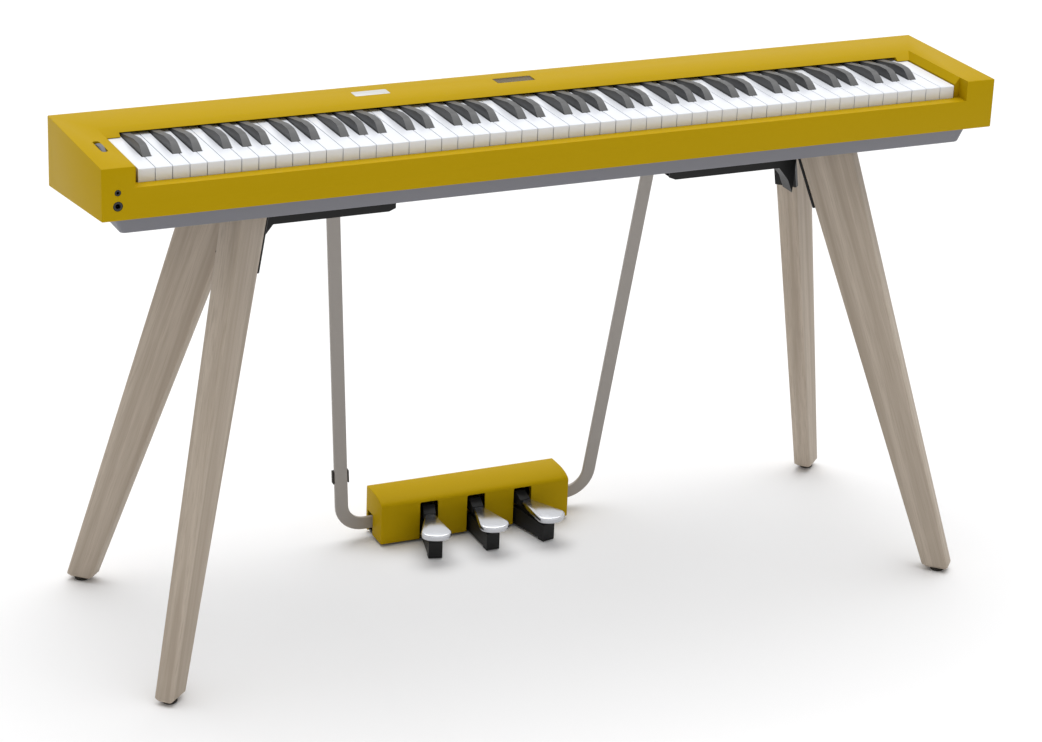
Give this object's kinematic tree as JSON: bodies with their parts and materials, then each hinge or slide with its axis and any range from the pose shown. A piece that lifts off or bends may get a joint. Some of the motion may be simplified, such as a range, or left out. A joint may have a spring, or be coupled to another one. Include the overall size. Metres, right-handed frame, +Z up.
{
  "type": "digital piano",
  "caption": "Slab digital piano on a splayed wooden stand, with a full keyboard, a pitch wheel and a hanging unit of sprung pedals",
  "frame": {"origin": "on the floor, under the middle of the stand", "axes": "+X to the player's right, along the keyboard; +Y away from the player; +Z up"},
  "size_m": [1.34, 0.4478, 0.7445],
  "materials": {
    "mustard_shell": "mustard yellow, satin gloss",
    "grey_chassis": "mid grey, matte",
    "white_key": "white, gloss",
    "black_key": "charcoal, satin",
    "black_steel": "black powder coat",
    "grey_oak": "greyed oak, matte varnish",
    "dark_rubber": "dark, matte",
    "warm_steel": "warm grey, satin",
    "bare_steel": "bare steel",
    "nickel": "bright nickel",
    "display_glass": "dark navy glass",
    "board_green": "green circuit board",
    "felt": "dark red felt",
    "wheel_plastic": "grey plastic",
    "black_plastic": "black plastic"
  },
  "bodies": {
    "instrument": {"cable_clip": "dark_rubber", "display_window": "display_glass", "glide_front_left": "dark_rubber", "glide_front_right": "dark_rubber", "glide_rear_left": "dark_rubber", "glide_rear_right": "dark_rubber", "headphone_jack_large": "black_plastic", "headphone_jack_small": "black_plastic", "key_frame": "black_steel", "key_hinge_rail": "black_plastic", "key_stop_felt": "felt", "leg_bracket_left": "black_steel", "leg_bracket_right": "black_steel", "leg_front_left": "grey_oak", "leg_front_right": "grey_oak", "leg_rear_left": "grey_oak", "leg_rear_right": "grey_oak", "lower_case": "grey_chassis", "main_board": "board_green", "pedal_arm_left": "warm_steel", "pedal_arm_right": "warm_steel", "pedal_axle": "bare_steel", "pedal_base": "black_steel", "pedal_box": "mustard_shell", "pitch_wheel_axle": "bare_steel", "rear_socket_block": "black_plastic", "speaker_left": "black_plastic", "speaker_right": "black_plastic", "upper_case": "mustard_shell"},
    "black_key_a_sharp": {"black_key_a_sharp": "black_key"},
    "black_key_c_sharp": {"black_key_c_sharp": "black_key"},
    "black_key_d_sharp": {"black_key_d_sharp": "black_key"},
    "black_key_f_sharp": {"black_key_f_sharp": "black_key"},
    "black_key_g_sharp": {"black_key_g_sharp": "black_key"},
    "black_keys_octave_1": {"black_keys_octave_1": "black_key"},
    "black_keys_octave_2": {"black_keys_octave_2": "black_key"},
    "black_keys_octave_3": {"black_keys_octave_3": "black_key"},
    "black_keys_octave_5": {"black_keys_octave_5": "black_key"},
    "black_keys_octave_6": {"black_keys_octave_6": "black_key"},
    "black_keys_octave_7": {"black_keys_octave_7": "black_key"},
    "white_key_a": {"white_key_a": "white_key"},
    "white_key_b": {"white_key_b": "white_key"},
    "white_key_c": {"white_key_c": "white_key"},
    "white_key_d": {"white_key_d": "white_key"},
    "white_key_e": {"white_key_e": "white_key"},
    "white_key_f": {"white_key_f": "white_key"},
    "white_key_g": {"white_key_g": "white_key"},
    "white_keys_octave_1": {"white_keys_octave_1": "white_key"},
    "white_keys_octave_2": {"white_keys_octave_2": "white_key"},
    "white_keys_octave_3": {"white_keys_octave_3": "white_key"},
    "white_keys_octave_5": {"white_keys_octave_5": "white_key"},
    "white_keys_octave_6": {"white_keys_octave_6": "white_key"},
    "white_keys_octave_7": {"white_keys_octave_7": "white_key"},
    "pitch_wheel": {"pitch_wheel": "wheel_plastic"},
    "pedal_left": {"pedal_lever_left": "black_steel", "pedal_pad_left": "nickel"},
    "pedal_centre": {"pedal_lever_centre": "black_steel", "pedal_pad_centre": "nickel"},
    "pedal_right": {"pedal_lever_right": "black_steel", "pedal_pad_right": "nickel"}
  },
  "joints": [
    {"name": "black_key_a_sharp_press", "type": "hinge", "parent": "instrument", "child": "black_key_a_sharp", "pos_m": [0.07435, 0.0853, 0.7245], "axis": [1, 0, 0], "range_deg": [0, 3.54], "stiffness_Nm_per_rad": 2, "springref_deg": -5.73},
    {"name": "black_key_c_sharp_press", "type": "hinge", "parent": "instrument", "child": "black_key_c_sharp", "pos_m": [-0.0496, 0.0853, 0.7245], "axis": [1, 0, 0], "range_deg": [0, 3.54], "stiffness_Nm_per_rad": 2, "springref_deg": -5.73},
    {"name": "black_key_d_sharp_press", "type": "hinge", "parent": "instrument", "child": "black_key_d_sharp", "pos_m": [-0.02135, 0.0853, 0.7245], "axis": [1, 0, 0], "range_deg": [0, 3.54], "stiffness_Nm_per_rad": 2, "springref_deg": -5.73},
    {"name": "black_key_f_sharp_press", "type": "hinge", "parent": "instrument", "child": "black_key_f_sharp", "pos_m": [0.02015, 0.0853, 0.7245], "axis": [1, 0, 0], "range_deg": [0, 3.54], "stiffness_Nm_per_rad": 2, "springref_deg": -5.73},
    {"name": "black_key_g_sharp_press", "type": "hinge", "parent": "instrument", "child": "black_key_g_sharp", "pos_m": [0.0473, 0.0853, 0.7245], "axis": [1, 0, 0], "range_deg": [0, 3.54], "stiffness_Nm_per_rad": 2, "springref_deg": -5.73},
    {"name": "black_keys_octave_1_press", "type": "hinge", "parent": "instrument", "child": "black_keys_octave_1", "pos_m": [-0.50507, 0.0853, 0.7245], "axis": [1, 0, 0], "range_deg": [0, 3.54], "stiffness_Nm_per_rad": 12, "springref_deg": -5.73},
    {"name": "black_keys_octave_2_press", "type": "hinge", "parent": "instrument", "child": "black_keys_octave_2", "pos_m": [-0.31872, 0.0853, 0.7245], "axis": [1, 0, 0], "range_deg": [0, 3.54], "stiffness_Nm_per_rad": 10, "springref_deg": -5.73},
    {"name": "black_keys_octave_3_press", "type": "hinge", "parent": "instrument", "child": "black_keys_octave_3", "pos_m": [-0.15317, 0.0853, 0.7245], "axis": [1, 0, 0], "range_deg": [0, 3.54], "stiffness_Nm_per_rad": 10, "springref_deg": -5.73},
    {"name": "black_keys_octave_5_press", "type": "hinge", "parent": "instrument", "child": "black_keys_octave_5", "pos_m": [0.17793, 0.0853, 0.7245], "axis": [1, 0, 0], "range_deg": [0, 3.54], "stiffness_Nm_per_rad": 10, "springref_deg": -5.73},
    {"name": "black_keys_octave_6_press", "type": "hinge", "parent": "instrument", "child": "black_keys_octave_6", "pos_m": [0.34348, 0.0853, 0.7245], "axis": [1, 0, 0], "range_deg": [0, 3.54], "stiffness_Nm_per_rad": 10, "springref_deg": -5.73},
    {"name": "black_keys_octave_7_press", "type": "hinge", "parent": "instrument", "child": "black_keys_octave_7", "pos_m": [0.50902, 0.0853, 0.7245], "axis": [1, 0, 0], "range_deg": [0, 3.54], "stiffness_Nm_per_rad": 10, "springref_deg": -5.73},
    {"name": "white_key_a_press", "type": "hinge", "parent": "instrument", "child": "white_key_a", "pos_m": [0.05912, 0.0633, 0.719], "axis": [1, 0, 0], "range_deg": [0, 3.24], "stiffness_Nm_per_rad": 2, "springref_deg": -5.73},
    {"name": "white_key_b_press", "type": "hinge", "parent": "instrument", "child": "white_key_b", "pos_m": [0.08277, 0.0633, 0.719], "axis": [1, 0, 0], "range_deg": [0, 3.24], "stiffness_Nm_per_rad": 2, "springref_deg": -5.73},
    {"name": "white_key_c_press", "type": "hinge", "parent": "instrument", "child": "white_key_c", "pos_m": [-0.05912, 0.0633, 0.719], "axis": [1, 0, 0], "range_deg": [0, 3.24], "stiffness_Nm_per_rad": 2, "springref_deg": -5.73},
    {"name": "white_key_d_press", "type": "hinge", "parent": "instrument", "child": "white_key_d", "pos_m": [-0.03548, 0.0633, 0.719], "axis": [1, 0, 0], "range_deg": [0, 3.24], "stiffness_Nm_per_rad": 2, "springref_deg": -5.73},
    {"name": "white_key_e_press", "type": "hinge", "parent": "instrument", "child": "white_key_e", "pos_m": [-0.01182, 0.0633, 0.719], "axis": [1, 0, 0], "range_deg": [0, 3.24], "stiffness_Nm_per_rad": 2, "springref_deg": -5.73},
    {"name": "white_key_f_press", "type": "hinge", "parent": "instrument", "child": "white_key_f", "pos_m": [0.01182, 0.0633, 0.719], "axis": [1, 0, 0], "range_deg": [0, 3.24], "stiffness_Nm_per_rad": 2, "springref_deg": -5.73},
    {"name": "white_key_g_press", "type": "hinge", "parent": "instrument", "child": "white_key_g", "pos_m": [0.03548, 0.0633, 0.719], "axis": [1, 0, 0], "range_deg": [0, 3.24], "stiffness_Nm_per_rad": 2, "springref_deg": -5.73},
    {"name": "white_keys_octave_1_press", "type": "hinge", "parent": "instrument", "child": "white_keys_octave_1", "pos_m": [-0.50848, 0.0633, 0.719], "axis": [1, 0, 0], "range_deg": [0, 3.24], "stiffness_Nm_per_rad": 18, "springref_deg": -5.73},
    {"name": "white_keys_octave_2_press", "type": "hinge", "parent": "instrument", "child": "white_keys_octave_2", "pos_m": [-0.31927, 0.0633, 0.719], "axis": [1, 0, 0], "range_deg": [0, 3.24], "stiffness_Nm_per_rad": 14, "springref_deg": -5.73},
    {"name": "white_keys_octave_3_press", "type": "hinge", "parent": "instrument", "child": "white_keys_octave_3", "pos_m": [-0.15372, 0.0633, 0.719], "axis": [1, 0, 0], "range_deg": [0, 3.24], "stiffness_Nm_per_rad": 14, "springref_deg": -5.73},
    {"name": "white_keys_octave_5_press", "type": "hinge", "parent": "instrument", "child": "white_keys_octave_5", "pos_m": [0.17738, 0.0633, 0.719], "axis": [1, 0, 0], "range_deg": [0, 3.24], "stiffness_Nm_per_rad": 14, "springref_deg": -5.73},
    {"name": "white_keys_octave_6_press", "type": "hinge", "parent": "instrument", "child": "white_keys_octave_6", "pos_m": [0.34293, 0.0633, 0.719], "axis": [1, 0, 0], "range_deg": [0, 3.24], "stiffness_Nm_per_rad": 14, "springref_deg": -5.73},
    {"name": "white_keys_octave_7_press", "type": "hinge", "parent": "instrument", "child": "white_keys_octave_7", "pos_m": [0.5203, 0.0633, 0.719], "axis": [1, 0, 0], "range_deg": [0, 3.24], "stiffness_Nm_per_rad": 16, "springref_deg": -5.73},
    {"name": "pitch_wheel_turn", "type": "hinge", "parent": "instrument", "child": "pitch_wheel", "pos_m": [-0.6428, -0.0427, 0.7108], "axis": [1, 0, 0], "range_deg": [-30, 30], "stiffness_Nm_per_rad": 0.02},
    {"name": "pedal_left_press", "type": "hinge", "parent": "instrument", "child": "pedal_left", "pos_m": [-0.0773, 0.1975, 0.0425], "axis": [1, 0, 0], "range_deg": [0, 4], "stiffness_Nm_per_rad": 30, "springref_deg": -6.88},
    {"name": "pedal_centre_press", "type": "hinge", "parent": "instrument", "child": "pedal_centre", "pos_m": [0, 0.1975, 0.0425], "axis": [1, 0, 0], "range_deg": [0, 4], "stiffness_Nm_per_rad": 30, "springref_deg": -6.88},
    {"name": "pedal_right_press", "type": "hinge", "parent": "instrument", "child": "pedal_right", "pos_m": [0.0773, 0.1975, 0.0425], "axis": [1, 0, 0], "range_deg": [0, 4], "stiffness_Nm_per_rad": 30, "springref_deg": -6.88}
  ]
}
